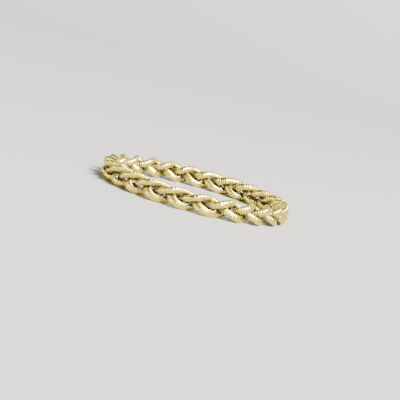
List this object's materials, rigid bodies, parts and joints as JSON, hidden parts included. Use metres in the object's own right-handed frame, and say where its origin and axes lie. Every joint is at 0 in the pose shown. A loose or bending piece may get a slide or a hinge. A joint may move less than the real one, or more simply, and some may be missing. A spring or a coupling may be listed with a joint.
{
  "type": "braided band ring",
  "caption": "Narrow finger ring plaited all round from closed gold wire strands, in one flat braid with matte ribbed wire.",
  "frame": {"origin": "on the ring's axis, level with the lowest lobes, on the surface that the ring lies on", "axes": "+Z along the ring's axis, up, as the ring lies on its side; the picture's front is at -Y and its right is +X"},
  "size_m": [0.0208, 0.0208, 0.0022],
  "materials": {
    "gold_wire": "matte pale yellow gold, finely ribbed across the wire, brighter on the crests"
  },
  "bodies": {
    "root": {"strand_1": "gold_wire", "strand_2": "gold_wire", "strand_3": "gold_wire"}
  },
  "joints": []
}
